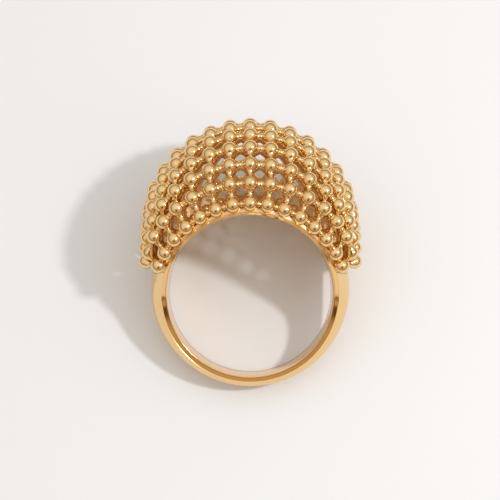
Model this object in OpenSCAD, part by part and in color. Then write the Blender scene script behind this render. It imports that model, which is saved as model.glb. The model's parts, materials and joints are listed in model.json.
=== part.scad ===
// Dome ring: a plain tapering band whose shoulders fork into two rails, and a hollow openwork dome
// of round beads, tied to each other by short bars, that spans from shoulder to shoulder.
// The ring is drawn upright first (x across the finger, y from finger to crown, z along the finger)
// and is then laid on its side, as it rests on a table.

/* [Band] */
// Inside diameter of the band, across the finger hole
finger_d = 17.4; // [15:0.2:21]
// Width of the band at the back of the finger
back_w = 3.9; // [2.6:0.1:4.6]
// Width of the band beside the finger
side_w = 4.8; // [4:0.1:6]
// Thickness of the band at the back, at the middle of its width
back_t = 1.25; // [1:0.05:1.8]
// Thickness of the band beside the finger, at the middle of its width
side_t = 1.8; // [1.4:0.05:2.4]
// Thickness of the band's flat edge
edge_t = 0.55; // [0.4:0.05:0.7]
// Thickness of the rails under the beads
rail_t = 0.32; // [0.25:0.01:0.5]
// Width of each rail, along the finger
rail_w = 1.1; // [0.8:0.1:1.6]

/* [Dome] */
// Height of the crown's bead centres above the middle of the finger hole
crown_h = 17.7; // [15:0.1:21]
// Radius of the crown seen along the finger, at the bead centres
crown_r = 10.8; // [10:0.1:13]
// Distance from the middle row of beads to the front or the rear one
dome_half_w = 8.2; // [6.5:0.1:10]
// Share of that distance that is lost at the last full column
narrowing_share = 0.38; // [0.2:0.02:0.45]

/* [Beads] */
// Diameter of a bead
bead_d = 1.6; // [1.3:0.05:1.6]
// Diameter of the beads at the shoulders, from the last full column down
end_bead_d = 1.3; // [1.1:0.05:1.35]
// Diameter of the bars that tie the beads
bar_d = 0.74; // [0.5:0.02:0.8]
// Clear gap between the rim beads and the rail below them
rim_gap = 0.05; // [0.02:0.01:0.1]
// Rows of beads between the middle row and the rim
half_rows = 6; // [4:1:7]
// Full columns of beads on each side of the middle one
half_cols = 7; // [5:1:8]
// Angle between columns, seen along the finger, about the crown's centre
col_angle = 11.15; // [10:0.05:12.5]
// Angle between the rim's beads about the finger
rim_angle = 10.2; // [9.5:0.1:11]

/* [Hidden] */
$fn = 32;

finger_r = finger_d / 2;
bead_r = bead_d / 2;
edge_r = finger_r + edge_t;
rail_r = finger_r + rail_t;
rim_r = rail_r + rim_gap + bead_r;
crown_y = crown_h - crown_r;
rim_proud = 0.3;

// The arcs of beads that nest inside the last full column at each shoulder, from the outer one in:
// beads on each side of the middle one, and the share of that column's width and height kept
END_ARCS = [[4, 0.71, 0.66], [2, 0.4, 0.33], [0, 0.03, 0.03]];
// Beads of the next line out that one bead of each arc stands for
END_STEPS = [1.5, 2, 1];
// Height of the arcs' lowest beads above the middle of the finger hole
end_base_y = finger_r * 0.42;

// Stations round the band, and points across its outer face
STATIONS = 72;
FACE_POINTS = 9;
FACE_POWER = 2.4;
// The band's outer face ends and the rails alone go on between these angles from the crown
fork_top = 63;
fork_end = 73;
// Length over which the window between the rails reaches its full width
window_lead = 3.2;

// Where the rim of a bar's end lies in its bead, as a share of the bead's radius
bar_bury = 0.96;

function unit(v) = v / norm(v);
function smooth(t) = let (u = min(1, max(0, t))) u * u * (3 - 2 * u);

// Half the dome's width at the rim, a number of columns away from the middle
function half_width(col) = dome_half_w * (1 - narrowing_share * pow(abs(col) / half_cols, 3));

// Points on the crown's curve and on the rim, both seen along the finger
function crown_point(col) = let (a = col_angle * col)
    [crown_r * sin(a), crown_y + crown_r * cos(a)];
function rim_point(col) = let (a = rim_angle * col) rim_r * [sin(a), cos(a)];

// A bead of the full columns: row 0 runs over the crown and rows +-half_rows are the rims
function bead(row, col) =
    let (
        u = 90 * row / half_rows,
        pull = pow(abs(row) / half_rows, 10),
        c = crown_point(col),
        r = rim_point(col)
    )
    [c[0] + (r[0] - c[0]) * pull, r[1] + (c[1] - r[1]) * cos(u), half_width(col) * sin(u)];

// A bead of the end arcs, which nest below the last full column at each shoulder
function end_bead(arc, k, side) =
    let (
        n = END_ARCS[arc][0],
        u = 90 * k / max(n, 1),
        tall = crown_point(half_cols)[1] - end_base_y
    )
    [
        side * crown_r,
        end_base_y + tall * END_ARCS[arc][2] * cos(u),
        half_width(half_cols) * END_ARCS[arc][1] * sin(u)
    ];

ROWS = [-half_rows : half_rows];
COLS = [-half_cols : half_cols];
SIDES = [-1, 1];
ARCS = [0 : len(END_ARCS) - 1];
function size_of(col) = abs(col) < half_cols ? bead_d : end_bead_d;

// Where the bead of the next line out, that an arc's bead is tied to, stands in its line
function outer_index(arc, k) = sign(k) * floor(abs(k) * END_STEPS[arc] + 0.5);
function outer_bead(arc, k, side) =
    let (m = outer_index(arc, k))
    arc == 0 ? bead(m, side * half_cols) : end_bead(arc - 1, m, side);
function inner_beads(arc, m, side) =
    arc > len(END_ARCS) - 1
        ? []
        : [for (k = [-END_ARCS[arc][0] : END_ARCS[arc][0]])
            if (outer_index(arc, k) == m) end_bead(arc, k, side)];

// The beads that a bead of the full columns, or of the arcs, is tied to
function crown_ties(row, col) = [
    for (c = [col - 1, col + 1]) if (abs(c) <= half_cols) bead(row, c),
    for (r = [row - 1, row + 1]) if (abs(r) <= half_rows) bead(r, col),
    if (abs(col) == half_cols) each inner_beads(0, row, sign(col))
];
function end_ties(arc, k, side) = [
    outer_bead(arc, k, side),
    for (n = [k - 1, k + 1]) if (abs(n) <= END_ARCS[arc][0]) end_bead(arc, n, side),
    each inner_beads(arc + 1, k, side)
];

// Outline of the band: half its width and its outer radius, at an angle from the crown
function plain_half_w(a) = back_w / 2 + (side_w - back_w) / 2 * (a < 90 ? 1 : pow(sin(a), 2));
function rim_half_w(a) = max(0, half_width(a / rim_angle) + rim_proud);
function band_half_w(a) = pow(pow(plain_half_w(a), 4) + pow(rim_half_w(a), 4), 1 / 4);

// The outer face follows a circle set off towards the crown, so the band is thicker at the sides
side_r = finger_r + side_t;
back_r = finger_r + back_t;
outer_shift = (side_r * side_r / back_r - back_r) / 2;
outer_r = back_r + outer_shift;
function outer_radius(a) =
    outer_shift * cos(a) + sqrt(outer_r * outer_r - pow(outer_shift * sin(a), 2));

// One cross-section of the band as [radius, z], from its buried inner side round its outer face
function section(a) =
    let (
        w = band_half_w(a),
        grown = smooth((a - fork_top) / (fork_end - fork_top)),
        edge = rail_r + (edge_r - rail_r) * grown,
        swell = (outer_radius(a) - edge_r) * grown,
        inner = finger_r - edge_t
    )
    [
        [inner, -w],
        for (k = [0 : FACE_POINTS - 1])
            let (z = 2 * k / (FACE_POINTS - 1) - 1)
            [edge + swell * (1 - pow(abs(z), FACE_POWER)), z * w],
        [inner, w]
    ];

BAND_POINTS = [
    for (s = [0 : STATIONS - 1])
        let (a = 360 * s / STATIONS, from_crown = a > 180 ? 360 - a : a)
        for (p = section(from_crown)) [p[0] * sin(a), p[0] * cos(a), p[1]]
];
RING_POINTS = FACE_POINTS + 2;

module closed_sweep(points, per_ring) {
    rings = len(points) / per_ring;
    polyhedron(points, [
        for (s = [0 : rings - 1], k = [0 : per_ring - 1])
            let (
                t = (s + 1) % rings,
                n = (k + 1) % per_ring,
                p00 = s * per_ring + k,
                p01 = s * per_ring + n,
                p10 = t * per_ring + k,
                p11 = t * per_ring + n
            )
            each [[p00, p10, p11], [p00, p11, p01]]
    ]);
}

// The window between the rails, drawn as height over z and cut straight across the finger
module rail_window() {
    bottom = edge_r * cos(fork_end);
    top = edge_r + 1;
    steps = 12;
    edge = [
        for (k = [0 : steps])
            let (
                y = bottom + (top - bottom) * pow(k / steps, 1.5),
                a = acos(min(1, y / edge_r)),
                lead = min(1, (y - bottom) / window_lead)
            )
            [(band_half_w(a) - rail_w) * sqrt(1 - pow(1 - lead, 2)), y]
    ];
    rotate([0, 90, 0])
        linear_extrude(height = 4 * finger_r, center = true)
            polygon(concat(edge, [for (k = [steps : -1 : 1]) [-edge[k][0], edge[k][1]]]));
}

// Hollows that keep the band clear of the beads which stand on its shoulders
module shoulder_seats() {
    seat_d = end_bead_d + 2 * rim_gap;
    for (side = SIDES, end = SIDES) {
        translate(bead(end * half_rows, side * half_cols)) sphere(d = seat_d);
        translate(end_bead(0, end * END_ARCS[0][0], side)) sphere(d = seat_d);
    }
}

module band() {
    color("goldenrod")
        laid_down()
            difference() {
                closed_sweep(BAND_POINTS, RING_POINTS);
                cylinder(h = 4 * dome_half_w, r = finger_r, center = true);
                rail_window();
                shoulder_seats();
            }
}

// The middle of the widest gap between some angles
function gap_after(a, angles) =
    min([for (b = angles) let (gap = (b - a + 720) % 360) gap > 0.01 ? gap : 360]);
function widest_gap(angles) =
    let (gaps = [for (a = angles) gap_after(a, angles)], widest = max(gaps))
    angles[search(widest, gaps)[0]] + widest / 2;

// A bead at p, given two directions along the dome's surface and the beads that it is tied to. It is
// turned so that its poles and its seam stand clear of the bars.
module turned_bead(p, d, along, up, ties) {
    n = unit(cross(along, up));
    e1 = unit(along);
    e2 = cross(n, e1);
    seam = widest_gap([for (t = ties) atan2((t - p) * e2, (t - p) * e1)]);
    x = e1 * cos(seam) + e2 * sin(seam);
    y = cross(n, x);
    multmatrix([
        [x[0], y[0], n[0], p[0]],
        [x[1], y[1], n[1], p[1]],
        [x[2], y[2], n[2], p[2]],
        [0, 0, 0, 1]
    ])
        sphere(d = d);
}

// How far from the middle of a bead its bars start, with their end's rim just under its surface
function bar_start(d) = sqrt(pow(d * bar_bury / 2, 2) - pow(bar_d / 2, 2));

// A bar between two beads
module bar(from, to, from_d, to_d) {
    v = to - from;
    start = bar_start(from_d);
    end = bar_start(to_d);
    translate(from)
        rotate([0, acos(v[2] / norm(v)), atan2(v[1], v[0])])
            translate([0, 0, start])
                cylinder(h = norm(v) - start - end, d = bar_d);
}

// The full columns of beads, which run from rim to rim over the crown
module crown_beads() {
    for (i = ROWS, j = COLS)
        turned_bead(
            bead(i, j),
            size_of(j),
            bead(i, j + 0.5) - bead(i, j - 0.5),
            bead(min(i + 0.5, half_rows), j) - bead(max(i - 0.5, -half_rows), j),
            crown_ties(i, j)
        );
    for (i = ROWS, j = COLS) {
        if (j < half_cols) bar(bead(i, j), bead(i, j + 1), size_of(j), size_of(j + 1));
        if (i < half_rows) bar(bead(i, j), bead(i + 1, j), size_of(j), size_of(j));
    }
}

// The nested arcs of beads at both shoulders
module end_beads() {
    for (side = SIDES, a = ARCS, k = [-END_ARCS[a][0] : END_ARCS[a][0]]) {
        p = end_bead(a, k, side);
        out = outer_bead(a, k, side);
        along = end_bead(a, k + 0.5, side) - end_bead(a, k - 0.5, side);
        turned_bead(p, end_bead_d, along, out - p, end_ties(a, k, side));
        bar(p, out, end_bead_d, end_bead_d);
        if (k < END_ARCS[a][0]) bar(p, end_bead(a, k + 1, side), end_bead_d, end_bead_d);
    }
}

module beaded_dome() {
    color("gold")
        laid_down() {
            crown_beads();
            end_beads();
        }
}

// How far the ring leans back when it lies on the rear edge of its band and on its rear rim
BAND_HEEL = [0, -edge_r, -back_w / 2];
function lean_on(p) =
    let (rise = p[1] - BAND_HEEL[1], drop = BAND_HEEL[2] - p[2])
    atan2(drop, rise) + asin(bead_r / norm([rise, drop]));
REAR_RIM = [for (j = COLS) bead(-half_rows, j)];
lean = max([for (p = REAR_RIM) lean_on(p)]);

function laid_y(p) = p[1] * cos(lean) - p[2] * sin(lean);
function laid_z(p) = p[1] * sin(lean) + p[2] * cos(lean);
front_y = max([for (i = ROWS, j = COLS) laid_y(bead(i, j))]) + bead_r;
back_y = min([for (p = BAND_POINTS) laid_y(p)]);

module laid_down() {
    translate([0, -(front_y + back_y) / 2, -laid_z(BAND_HEEL)])
        rotate([lean, 0, 0])
            children();
}

band();
beaded_dome();
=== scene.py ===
"""Looks of a dome ring: a polished gold-plated band that forks into two rails, and an openwork dome
of cast beads on a net of ribs. The ring lies on its side on a pale table."""

import json
import math

import bpy
from mathutils import Matrix, Vector


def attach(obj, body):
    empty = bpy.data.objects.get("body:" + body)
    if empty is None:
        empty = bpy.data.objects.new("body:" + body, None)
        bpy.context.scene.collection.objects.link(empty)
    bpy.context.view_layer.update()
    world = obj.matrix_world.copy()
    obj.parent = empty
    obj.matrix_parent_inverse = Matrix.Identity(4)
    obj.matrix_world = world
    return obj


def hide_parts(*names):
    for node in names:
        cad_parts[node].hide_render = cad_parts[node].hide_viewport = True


MM = 0.001

# Sizes of the ring, in millimetres
BACK_W = 3.9
SIDE_W = 4.8
BACK_T = 1.25
SIDE_T = 1.8
EDGE_T = 0.55
RAIL_T = 0.32
RAIL_W = 1.1
CROWN_H = 17.7
CROWN_R = 10.8
DOME_HALF_W = 8.2
NARROWING = 0.38
# Spacing of the beads, and how wide they are shown, a little fuller
BEAD_D = 1.6
BEAD_SHOWN = 1.66
# The shoulders' smaller beads, before they are shown fuller by the same share
END_BEAD_D = 1.45
RIM_GAP = 0.05
HALF_ROWS = 6
HALF_COLS = 7
COL_STEP = math.radians(11.15)
RIM_STEP = math.radians(10.2)
RIM_PROUD = 0.3

# The arcs of beads at each shoulder: beads on each side of the middle, share of the last column's
# width, share of its height, and how many beads of the next line out each bead stands for
END_ARCS = ((4, 0.71, 0.66, 1.5), (2, 0.4, 0.33, 2.0), (0, 0.03, 0.03, 1.0))
END_BASE_SHARE = 0.42

# The band's profile: rounded inner corners, a fine groove at each edge of its flat side, and a crease
# between that side and the outer face
CORNER = 0.06
CREASE = 0.05
FACE_POWER = 2.4
CORNER_STEPS = 4
FACE_STEPS = 20
BAND_STEPS = 240
FORK_TOP = math.radians(63)
FORK_END = math.radians(73)
WINDOW_END = math.radians(69)
WINDOW_LEAD = 3.2
WINDOW_STEPS = 24
GROOVE = 0.04
GROOVE_DEEP = 0.07
# How softly the band's width runs from the rails into the shank
SHANK_EASE = 1.2

# The necks between the beads: their width at the waist and, as shares of it, at each step outwards
NECK_D = 0.5
NECK_SHARES = (1.8, 2.8, 2.8)
LINK_BALL_D = 0.7

# The net under the beads: its ribs widen towards the beads, so that each opening is a diamond. Widths
# of a rib's waist from its ridge down, how much wider each half gets, and how far down the net reaches
RIB_WAISTS = (0.36, 0.48, 0.56, 0.6, 0.54)
RIDGE_Z = -0.12
NET_BOTTOM = -0.6
SPREAD = 0.8
FULL_SPACING = 2.1
EDGE_SPREAD = 0.2
RIM_SPREAD = 0.1
RIM_RECESS = 0.24
RIM_SINK = 0.3

# The beads at the four ends of the rails stand a little higher than the rest of their rows
SHOULDER_LIFT = Vector((0, 0.25, 0.4))

# The gold's finish: polishing scratches, drawn coarse enough to show, the share of the roughness that
# they vary it by, and the strength of the polishing ripples
SCRATCH_MM = 0.12
NOISE_LOW = 0.3
NOISE_HIGH = 0.7
SMOOTHEST = 0.8
ROUGHEST = 1.25
RIPPLE_STRENGTH = 0.35

# Camera, as the photograph has it
CAMERA_TILT = math.radians(4.5)
CAMERA_DISTANCE = 150.0
FRAME_PIXELS = 500
FRAME_CENTRE = 250
PIXELS_PER_MM = 9.42
HOLE_CENTRE_X = 250.2
HOLE_CENTRE_Y = 292.9
SENSOR = 36.0

# The studio round the table: the sky's colours, and a screen with the lens's dark opening in it, which
# the beads and the band's flat side mirror
OVERHEAD = "FFFFFF"
TENT = "E2E2E2"
ROOM = "8E7350"
SCREEN = "C8AE86"
PATCH = "5A4022"
PATCH_OFFSET = math.radians(33)
SKY_STRENGTH = 0.98
TABLE_ACROSS = 1.2
WINDOW_AIM = (0.555, -0.03, 0.81)
WINDOW_DISTANCE = 260
WINDOW_ACROSS = 22
WINDOW_POWER = 0.235

# Sockets of a colour Mix node
MIX_FACTOR = 0
MIX_FIRST = 6
MIX_SECOND = 7
MIX_RESULT = 2

# Passes of subdivision along a neck and over a rib, and how near a station a vertex counts as on it
NECK_CUTS = 5
RIB_CUTS = 3
NEAR = 0.01

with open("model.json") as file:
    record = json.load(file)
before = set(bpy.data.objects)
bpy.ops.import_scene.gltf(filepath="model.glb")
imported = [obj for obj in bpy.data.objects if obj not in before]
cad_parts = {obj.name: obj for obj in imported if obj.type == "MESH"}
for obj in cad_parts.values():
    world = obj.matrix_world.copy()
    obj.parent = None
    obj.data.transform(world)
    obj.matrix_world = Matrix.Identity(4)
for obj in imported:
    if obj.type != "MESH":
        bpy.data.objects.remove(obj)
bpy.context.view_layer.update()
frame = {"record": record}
FINGER = frame["record"]["mounts"][0]
CENTRE = Vector(FINGER["pos_m"])
FINGER_AXIS = Vector(FINGER["axis"]).normalized()
FINGER_R = FINGER["dims"]["r_mm"]
LEAN = math.atan2(-FINGER_AXIS.y, FINGER_AXIS.z)
LAID = Matrix.Translation(CENTRE) @ Matrix.Rotation(LEAN, 4, "X")

EDGE_R = FINGER_R + EDGE_T
RAIL_R = FINGER_R + RAIL_T
RIM_R = RAIL_R + RIM_GAP + BEAD_D / 2
CROWN_Y = CROWN_H - CROWN_R
SIDE_R = FINGER_R + SIDE_T
BACK_R = FINGER_R + BACK_T
OUTER_SHIFT = (SIDE_R * SIDE_R / BACK_R - BACK_R) / 2
OUTER_R = BACK_R + OUTER_SHIFT


# Colours and materials


def srgb(code):
    """A colour's hex code as linear red, green, blue and alpha."""
    parts = [int(code[i : i + 2], 16) / 255 for i in (0, 2, 4)]
    linear = [p / 12.92 if p <= 0.04045 else ((p + 0.055) / 1.055) ** 2.4 for p in parts]
    return (*linear, 1.0)


def node(tree, kind, links=(), **settings):
    """Adds a node, sets its properties or sockets, and links (from socket, own socket) pairs."""
    made = tree.nodes.new(kind)
    for key, value in settings.items():
        name = key.replace("_", " ")
        if hasattr(made, key):
            setattr(made, key, value)
        else:
            made.inputs[name].default_value = value
    for source, target in links:
        tree.links.new(source, made.inputs[target])
    return made


def new_material(name):
    made = bpy.data.materials.new(name)
    made.use_nodes = True
    made.node_tree.nodes.clear()
    return made, made.node_tree


def gold_plate(name, colour, metallic, roughness, ripple_mm, ripple_height):
    """Polished yellow-gold plating over cast brass: a warm mirror, softened by fine polishing
    scratches and by the slight waviness that hand polishing leaves."""
    made, tree = new_material(name)
    place = node(tree, "ShaderNodeTexCoord").outputs["Object"]
    waves = node(tree, "ShaderNodeTexNoise", [(place, "Vector")], Scale=1 / (ripple_mm * MM), Detail=3.0)
    fine = node(tree, "ShaderNodeTexNoise", [(place, "Vector")], Scale=1 / (SCRATCH_MM * MM), Detail=2.0)
    rough = node(tree, "ShaderNodeMapRange", [(fine.outputs["Fac"], "Value")])
    rough.inputs["From Min"].default_value = NOISE_LOW
    rough.inputs["From Max"].default_value = NOISE_HIGH
    rough.inputs["To Min"].default_value = roughness * SMOOTHEST
    rough.inputs["To Max"].default_value = roughness * ROUGHEST
    bump = node(tree, "ShaderNodeBump", [(waves.outputs["Fac"], "Height")], Strength=RIPPLE_STRENGTH,
                Distance=ripple_height * MM)
    shader = node(tree, "ShaderNodeBsdfPrincipled",
                  [(rough.outputs["Result"], "Roughness"), (bump.outputs["Normal"], "Normal")])
    shader.inputs["Base Color"].default_value = srgb(colour)
    shader.inputs["Metallic"].default_value = metallic
    node(tree, "ShaderNodeOutputMaterial", [(shader.outputs["BSDF"], "Surface")])
    return made


def table_top(name):
    """Matt white-painted board, a shade off white."""
    made, tree = new_material(name)
    shader = node(tree, "ShaderNodeBsdfPrincipled", Roughness=0.75)
    shader.inputs["Base Color"].default_value = srgb("F3F3F4")
    node(tree, "ShaderNodeOutputMaterial", [(shader.outputs["BSDF"], "Surface")])
    return made


# Places on the ring


def half_width(col):
    return DOME_HALF_W * (1 - NARROWING * (abs(col) / HALF_COLS) ** 3)


def bead_at(row, col):
    """A bead of the full columns, in the ring's own frame: x across, y to the crown, z along."""
    turn = math.pi / 2 * row / HALF_ROWS
    pull = (abs(row) / HALF_ROWS) ** 10
    crown = (CROWN_R * math.sin(COL_STEP * col), CROWN_Y + CROWN_R * math.cos(COL_STEP * col))
    rim = (RIM_R * math.sin(RIM_STEP * col), RIM_R * math.cos(RIM_STEP * col))
    return Vector((
        crown[0] + (rim[0] - crown[0]) * pull,
        rim[1] + (crown[1] - rim[1]) * math.cos(turn),
        half_width(col) * math.sin(turn),
    ))


def end_bead_at(arc, k, side):
    """A bead of the nested arcs at a shoulder."""
    count, wide, tall, _ = END_ARCS[arc]
    turn = math.pi / 2 * k / max(count, 1)
    base = FINGER_R * END_BASE_SHARE
    height = CROWN_Y + CROWN_R * math.cos(COL_STEP * HALF_COLS) - base
    return Vector((
        side * CROWN_R,
        base + height * tall * math.cos(turn),
        half_width(HALF_COLS) * wide * math.sin(turn),
    ))


def outer_bead(arc, k, side):
    """The bead of the next line out that an arc's bead is tied to."""
    m = int(math.copysign(math.floor(abs(k) * END_ARCS[arc][3] + 0.5), k))
    return bead_at(m, side * HALF_COLS) if arc == 0 else end_bead_at(arc - 1, m, side)


def outward(p):
    """The dome's outward direction at a point, from the middle of its hollow."""
    return Vector((p.x / CROWN_R ** 2, (p.y - CROWN_Y) / CROWN_R ** 2, p.z / DOME_HALF_W ** 2)).normalized()


def band_half_w(turn):
    """Half the band's width at an angle from the crown."""
    away = 1 if turn < math.pi / 2 else math.sin(turn) ** 2
    plain = BACK_W / 2 + (SIDE_W - BACK_W) / 2 * away
    rim = half_width(turn / RIM_STEP) + RIM_PROUD
    return plain + SHANK_EASE * math.log1p(math.exp((rim - plain) / SHANK_EASE))


def outer_radius(turn):
    across = OUTER_SHIFT * math.sin(turn)
    return OUTER_SHIFT * math.cos(turn) + math.sqrt(OUTER_R ** 2 - across ** 2)


def band_section(turn):
    """The band's profile at an angle from the crown, as (radius, z) round it, from its inner side."""
    w = band_half_w(turn)
    rise = min(1, max(0, (turn - FORK_TOP) / (FORK_END - FORK_TOP)))
    grown = rise * rise * (3 - 2 * rise)
    edge = RAIL_R + (EDGE_R - RAIL_R) * grown
    swell = (outer_radius(turn) - EDGE_R) * grown
    corner = [
        (FINGER_R + CORNER * (1 - math.cos(a)), w - CORNER * (1 - math.sin(a)))
        for a in (math.pi / 2 * k / CORNER_STEPS for k in range(CORNER_STEPS + 1))
    ]
    face = [
        (edge + swell * (1 - abs(u) ** FACE_POWER), (w - CREASE) * u)
        for u in (1 - 2 * k / FACE_STEPS for k in range(FACE_STEPS + 1))
    ]
    inner = [(FINGER_R, 0.0)]
    cut = GROOVE * grown
    floor = w - GROOVE_DEEP * grown
    line = FINGER_R + CORNER + GROOVE
    grooves = [(line - cut, w), (line, floor), (line + cut, w),
               (edge - CREASE - cut, w), (edge - CREASE, floor)]
    half = corner + grooves
    return inner + half + face + [(r, -z) for r, z in reversed(half)]


ROWS = range(-HALF_ROWS, HALF_ROWS + 1)
COLS = range(-HALF_COLS, HALF_COLS + 1)


def all_beads():
    """(place, diameter) of every bead, before it is shown fuller."""
    for row in ROWS:
        for col in COLS:
            if abs(col) < HALF_COLS:
                yield bead_at(row, col), BEAD_D
            elif abs(row) < HALF_ROWS:
                yield bead_at(row, col), END_BEAD_D
            else:
                lift = Vector((0, SHOULDER_LIFT.y, math.copysign(SHOULDER_LIFT.z, row)))
                yield bead_at(row, col) + lift, BEAD_D
    for side in (-1, 1):
        for arc, (count, *_) in enumerate(END_ARCS):
            for k in range(-count, count + 1):
                yield end_bead_at(arc, k, side), END_BEAD_D


def all_links():
    """(start, end, has a ball, lies inside the net, share of the full spacing of rows) of every link."""
    for row in ROWS:
        for col in COLS:
            here = bead_at(row, col)
            if col < HALF_COLS:
                next_row = row + 1 if row < 0 else row - 1
                share = min(1.0, (bead_at(next_row, col) - here).length / FULL_SPACING)
                yield here, bead_at(row, col + 1), True, abs(row) < HALF_ROWS, share
            if row < HALF_ROWS:
                yield here, bead_at(row + 1, col), False, abs(col) < HALF_COLS, 1.0
    for side in (-1, 1):
        for arc, (count, *_) in enumerate(END_ARCS):
            for k in range(-count, count + 1):
                here = end_bead_at(arc, k, side)
                yield here, outer_bead(arc, k, side), True, False, 1.0
                if k < count:
                    yield here, end_bead_at(arc, k + 1, side), False, False, 1.0


# Modelling


def deselect():
    bpy.ops.object.select_all(action="DESELECT")


def edit(piece):
    deselect()
    piece.select_set(True)
    bpy.context.view_layer.objects.active = piece
    bpy.ops.object.mode_set(mode="EDIT")
    bpy.ops.mesh.select_mode(type="VERT")


def leave_edit():
    bpy.ops.object.mode_set(mode="OBJECT")


def select_vertices(piece, wanted):
    """Selects the vertices of a piece in edit mode for which wanted(place) is true."""
    bpy.ops.mesh.select_all(action="DESELECT")
    leave_edit()
    for v in piece.data.vertices:
        v.select = wanted(v.co)
    bpy.ops.object.mode_set(mode="EDIT")


def copy_of(form, matrix):
    twin = form.copy()
    twin.data = form.data.copy()
    bpy.context.scene.collection.objects.link(twin)
    twin.matrix_world = matrix
    return twin


def joined(name, parts, matrix=None):
    """Joins parts to one piece with its place in its mesh."""
    deselect()
    for part in parts:
        part.select_set(True)
    bpy.context.view_layer.objects.active = parts[0]
    bpy.ops.object.join()
    piece = bpy.context.object
    if matrix is not None:
        bpy.context.view_layer.update()
        piece.matrix_world = matrix @ piece.matrix_world
    bpy.context.view_layer.update()
    bpy.ops.object.transform_apply(location=True, rotation=True, scale=True)
    piece.name = name
    piece.data.name = name
    return piece


def smooth(piece, degrees):
    deselect()
    piece.select_set(True)
    bpy.context.view_layer.objects.active = piece
    bpy.ops.object.shade_smooth_by_angle(angle=math.radians(degrees))


def dress(piece, material, slot_name, *replaced):
    piece.data.materials.clear()
    piece.data.materials.append(material)
    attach(piece, "root")
    if replaced:
        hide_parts(*replaced)
    return piece


def link_frame(start, end, up):
    """Where a link's form goes: its X runs from start to end, its Z upwards."""
    run = end - start
    x = run.normalized()
    y = up.cross(x).normalized()
    z = x.cross(y)
    turned = Matrix((x, y, z)).transposed().to_4x4()
    stretch = Matrix.Diagonal((run.length / BEAD_D, 1, 1, 1))
    return Matrix.Translation((start + end) / 2 * MM) @ turned @ stretch


def bead_form():
    deselect()
    bpy.ops.mesh.primitive_uv_sphere_add(segments=18, ring_count=11, radius=BEAD_SHOWN / 2 * MM)
    return bpy.context.object


def ball_form():
    """The small ball in the middle of a link that runs across the finger."""
    deselect()
    bpy.ops.mesh.primitive_uv_sphere_add(segments=10, ring_count=7, radius=LINK_BALL_D / 2 * MM)
    return bpy.context.object


def neck_form():
    """A short round bar whose ends flare into the beads."""
    deselect()
    bpy.ops.mesh.primitive_cylinder_add(vertices=8, radius=NECK_D / 2 * MM, depth=BEAD_D * MM,
                                        rotation=(0, math.pi / 2, 0), end_fill_type="NOTHING")
    bpy.ops.object.transform_apply(rotation=True)
    form = bpy.context.object
    edit(form)
    bpy.ops.mesh.select_mode(type="EDGE")
    bpy.ops.mesh.select_all(action="DESELECT")
    leave_edit()
    for line in form.data.edges:
        start, end = (form.data.vertices[n].co for n in line.vertices)
        line.select = abs(start.x - end.x) > BEAD_D / 2 * MM
    bpy.ops.object.mode_set(mode="EDIT")
    bpy.ops.mesh.subdivide(number_cuts=NECK_CUTS)
    bpy.ops.mesh.select_mode(type="VERT")
    for step, share in enumerate(NECK_SHARES, 1):
        place = BEAD_D / (NECK_CUTS + 1) * step
        select_vertices(form, lambda co, place=place: abs(abs(co.x) / MM - place) < NEAR)
        bpy.ops.transform.resize(value=(1, share, share))
    leave_edit()
    return form


def rib_form(spread):
    """A rib of the net under a link: narrow in the middle, and wider towards the beads and downwards."""
    deselect()
    bpy.ops.mesh.primitive_cube_add(size=1, location=(0, 0, (RIDGE_Z + NET_BOTTOM) / 2 * MM))
    form = bpy.context.object
    form.scale = (BEAD_D * MM, MM, (RIDGE_Z - NET_BOTTOM) * MM)
    bpy.ops.object.transform_apply(location=True, scale=True)
    edit(form)
    bpy.ops.mesh.select_all(action="SELECT")
    bpy.ops.mesh.subdivide(number_cuts=RIB_CUTS)
    for level, waist in enumerate(RIB_WAISTS):
        for step in range(3):
            height = RIDGE_Z + (NET_BOTTOM - RIDGE_Z) * level / (RIB_CUTS + 1)
            place = (BEAD_D / (RIB_CUTS + 1) * step, height)
            select_vertices(form, lambda co, at=place: math.dist(at, (abs(co.x) / MM, co.z / MM)) < NEAR)
            bpy.ops.transform.resize(value=(1, waist + spread * step, 1))
    bpy.ops.mesh.select_mode(type="FACE")
    bpy.ops.mesh.select_all(action="DESELECT")
    leave_edit()
    for face in form.data.polygons:
        face.select = abs(face.normal.x) > 0.9
    bpy.ops.object.mode_set(mode="EDIT")
    bpy.ops.mesh.delete(type="FACE")
    leave_edit()
    return form


def build_dome():
    """The beads with the necks and balls between them, and the ribs of the net below."""
    bead, ball, neck = bead_form(), ball_form(), neck_form()
    inner_rib, edge_rib, rim_rib = rib_form(SPREAD), rib_form(EDGE_SPREAD), rib_form(RIM_SPREAD)
    beads = []
    ribs = []
    for place, size in all_beads():
        beads.append(copy_of(bead, Matrix.Translation(place * MM) @ Matrix.Scale(size / BEAD_D, 4)))
    for start, end, has_ball, inside, share in all_links():
        where = link_frame(start, end, outward((start + end) / 2))
        beads.append(copy_of(neck, where))
        ribs.append(copy_of(inner_rib if inside else edge_rib, where @ Matrix.Diagonal((1, share, 1, 1))))
        if has_ball:
            beads.append(copy_of(ball, Matrix.Translation((start + end) / 2 * MM)))
    for row in (-HALF_ROWS, HALF_ROWS):
        back = Vector((0, 0, -math.copysign(RIM_RECESS, row)))
        for col in range(-HALF_COLS, HALF_COLS):
            start, end = bead_at(row, col), bead_at(row, col + 1)
            from_finger = Vector((start.x + end.x, start.y + end.y, 0)).normalized()
            shift = back - from_finger * RIM_SINK
            ribs.append(copy_of(rim_rib, link_frame(start + shift, end + shift, from_finger)))
    beads = joined("dome_beads", beads, LAID)
    net = joined("dome_net", ribs, LAID)
    for form in (bead, ball, neck, inner_rib, edge_rib, rim_rib):
        bpy.data.objects.remove(form)
    return beads, net


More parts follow.
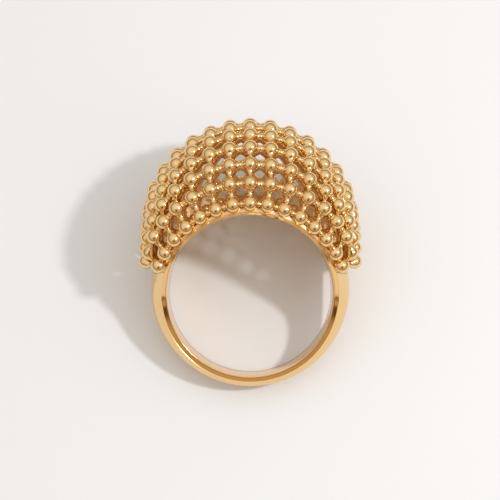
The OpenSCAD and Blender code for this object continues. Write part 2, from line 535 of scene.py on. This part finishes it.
def outline_form(points):
    """A closed line of vertices through the given places."""
    deselect()
    bpy.ops.mesh.primitive_circle_add(vertices=len(points), radius=MM)
    form = bpy.context.object
    for v, place in zip(form.data.vertices, points):
        v.co = Vector(place) * MM
    return form


def window_form():
    """The space between the two rails, as a block that is cut from the band."""
    bottom = EDGE_R * math.cos(WINDOW_END)
    top = EDGE_R + 1
    edge = []
    for k in range(WINDOW_STEPS + 1):
        y = bottom + (top - bottom) * (k / WINDOW_STEPS) ** 1.5
        lead = min(1, (y - bottom) / WINDOW_LEAD)
        wide = band_half_w(math.acos(min(1, y / EDGE_R))) - RAIL_W
        edge.append((-2 * FINGER_R, y, wide * math.sqrt(1 - (1 - lead) ** 2)))
    other = [(x, y, -z) for x, y, z in reversed(edge[1:])]
    form = outline_form(edge + other)
    edit(form)
    bpy.ops.mesh.select_all(action="SELECT")
    bpy.ops.mesh.edge_face_add()
    bpy.ops.mesh.extrude_region_move(TRANSFORM_OT_translate={"value": (4 * FINGER_R * MM, 0, 0)})
    bpy.ops.mesh.select_all(action="SELECT")
    bpy.ops.mesh.normals_make_consistent(inside=False)
    leave_edit()
    return form


def build_band():
    """The band: a profile spun round the finger, drawn in and thinned towards the back, with the
    window between its rails cut out."""
    profile = band_section(math.pi / 2)
    band = outline_form([(0, r, z) for r, z in profile])
    edit(band)
    bpy.ops.mesh.select_all(action="SELECT")
    bpy.ops.mesh.spin(steps=BAND_STEPS, angle=math.tau, center=(0, 0, 0), axis=(0, 0, 1))
    bpy.ops.mesh.select_all(action="SELECT")
    bpy.ops.mesh.remove_doubles(threshold=0.001 * MM)
    bpy.ops.mesh.normals_make_consistent(inside=False)
    leave_edit()
    for v in band.data.vertices:
        turn = math.atan2(v.co.x, v.co.y)
        spun = (math.hypot(v.co.x, v.co.y) / MM, v.co.z / MM)
        k = min(range(len(profile)), key=lambda n: math.dist(profile[n], spun))
        r, z = band_section(abs(turn))[k]
        v.co = Vector((r * math.sin(turn), r * math.cos(turn), z)) * MM
    window = window_form()
    deselect()
    band.select_set(True)
    bpy.context.view_layer.objects.active = band
    cut = band.modifiers.new("window", "BOOLEAN")
    cut.operation = "DIFFERENCE"
    cut.solver = "EXACT"
    cut.object = window
    bpy.ops.object.modifier_apply(modifier=cut.name)
    bpy.data.objects.remove(window)
    return joined("polished_band", [band], LAID)


# Lights, table and camera


def build_table(material):
    deselect()
    bpy.ops.mesh.primitive_plane_add(size=TABLE_ACROSS)
    table = bpy.context.object
    table.name = "table_top"
    table.data.materials.append(material)


def soft_light(name, direction, distance_mm, size_mm, power):
    aim = Vector(direction).normalized()
    lamp = bpy.data.lights.new(name, "AREA")
    lamp.shape = "DISK"
    lamp.size = size_mm * MM
    lamp.energy = power
    holder = bpy.data.objects.new(name, lamp)
    bpy.context.scene.collection.objects.link(holder)
    holder.location = CENTRE + aim * distance_mm * MM
    holder.rotation_euler = aim.to_track_quat("Z", "Y").to_euler()


def build_room():
    """A white tent overhead, a screen with a dark opening for the lens, and a dim room round it."""
    world = bpy.data.worlds.new("studio_tent")
    bpy.context.scene.world = world
    world.use_nodes = True
    tree = world.node_tree
    tree.nodes.clear()
    look = node(tree, "ShaderNodeTexCoord").outputs["Generated"]
    tone = node(tree, "ShaderNodeRGB").outputs["Color"]
    tone.default_value = srgb(ROOM)
    patch_lean = LEAN - CAMERA_TILT + PATCH_OFFSET
    patch = (0, -math.sin(patch_lean), math.cos(patch_lean))
    up = (0, 0, 1)
    # Each layer: its middle, the degrees from there where it fades out and where it is full, its colour
    layers = ((up, 88, 56, TENT), (up, 52, 18, OVERHEAD), (patch, 32, 20, SCREEN), (patch, 17, 6, PATCH))
    for aim, far, near, colour in layers:
        towards = node(tree, "ShaderNodeVectorMath", [(look, 0)], operation="DOT_PRODUCT")
        towards.inputs[1].default_value = aim
        ramp = node(tree, "ShaderNodeMapRange", [(towards.outputs["Value"], "Value")],
                    interpolation_type="SMOOTHSTEP")
        ramp.inputs["From Min"].default_value = math.cos(math.radians(far))
        ramp.inputs["From Max"].default_value = math.cos(math.radians(near))
        mix = node(tree, "ShaderNodeMix", [(ramp.outputs["Result"], MIX_FACTOR)], data_type="RGBA")
        tree.links.new(tone, mix.inputs[MIX_FIRST])
        mix.inputs[MIX_SECOND].default_value = srgb(colour)
        tone = mix.outputs[MIX_RESULT]
    light = node(tree, "ShaderNodeBackground", [(tone, "Color")], Strength=SKY_STRENGTH)
    node(tree, "ShaderNodeOutputWorld", [(light.outputs["Background"], "Surface")])
    soft_light("window", WINDOW_AIM, WINDOW_DISTANCE, WINDOW_ACROSS, WINDOW_POWER)


def build_camera():
    lens = PIXELS_PER_MM * CAMERA_DISTANCE * SENSOR / FRAME_PIXELS
    data = bpy.data.cameras.new("camera")
    data.sensor_width = SENSOR
    data.lens = lens
    data.clip_start = 5 * MM
    data.clip_end = 5.0
    lean = LEAN - CAMERA_TILT
    back = Vector((0, -math.sin(lean), math.cos(lean)))
    up = Vector((0, math.cos(lean), math.sin(lean)))
    right = Vector((1, 0, 0))
    shift_x = -(HOLE_CENTRE_X - FRAME_CENTRE) / PIXELS_PER_MM
    shift_y = (HOLE_CENTRE_Y - FRAME_CENTRE) / PIXELS_PER_MM
    holder = bpy.data.objects.new("camera", data)
    bpy.context.scene.collection.objects.link(holder)
    holder.location = CENTRE + (right * shift_x + up * shift_y + back * CAMERA_DISTANCE) * MM
    holder.rotation_euler = back.to_track_quat("Z", "Y").to_euler()
    bpy.context.scene.camera = holder


bpy.context.scene.view_settings.view_transform = "Standard"
build_camera()
build_room()
build_table(table_top("white_painted_board"))

BEAD_GOLD = gold_plate("polished_gold_beads", "F2CC90", 1.0, 0.14, 0.9, 0.02)
# The net's gold is rougher than the beads' gold for its cast, unpolished finish. Its darker base colour is
# painted shade for the recessed net between the beads.
SHADED_NET_GOLD = gold_plate("cast_gold_net_painted_shade", "E8C088", 1.0, 0.32, 0.5, 0.02)
BAND_GOLD = gold_plate("polished_gold_band", "F2CC90", 1.0, 0.14, 1.6, 0.02)

beads, net = build_dome()
smooth(beads, 60)
smooth(net, 35)
dress(beads, BEAD_GOLD, "beaded_gold", "beaded_dome")
dress(net, SHADED_NET_GOLD, "beaded_gold")
band = build_band()
smooth(band, 32)
dress(band, BAND_GOLD, "polished_band", "band")
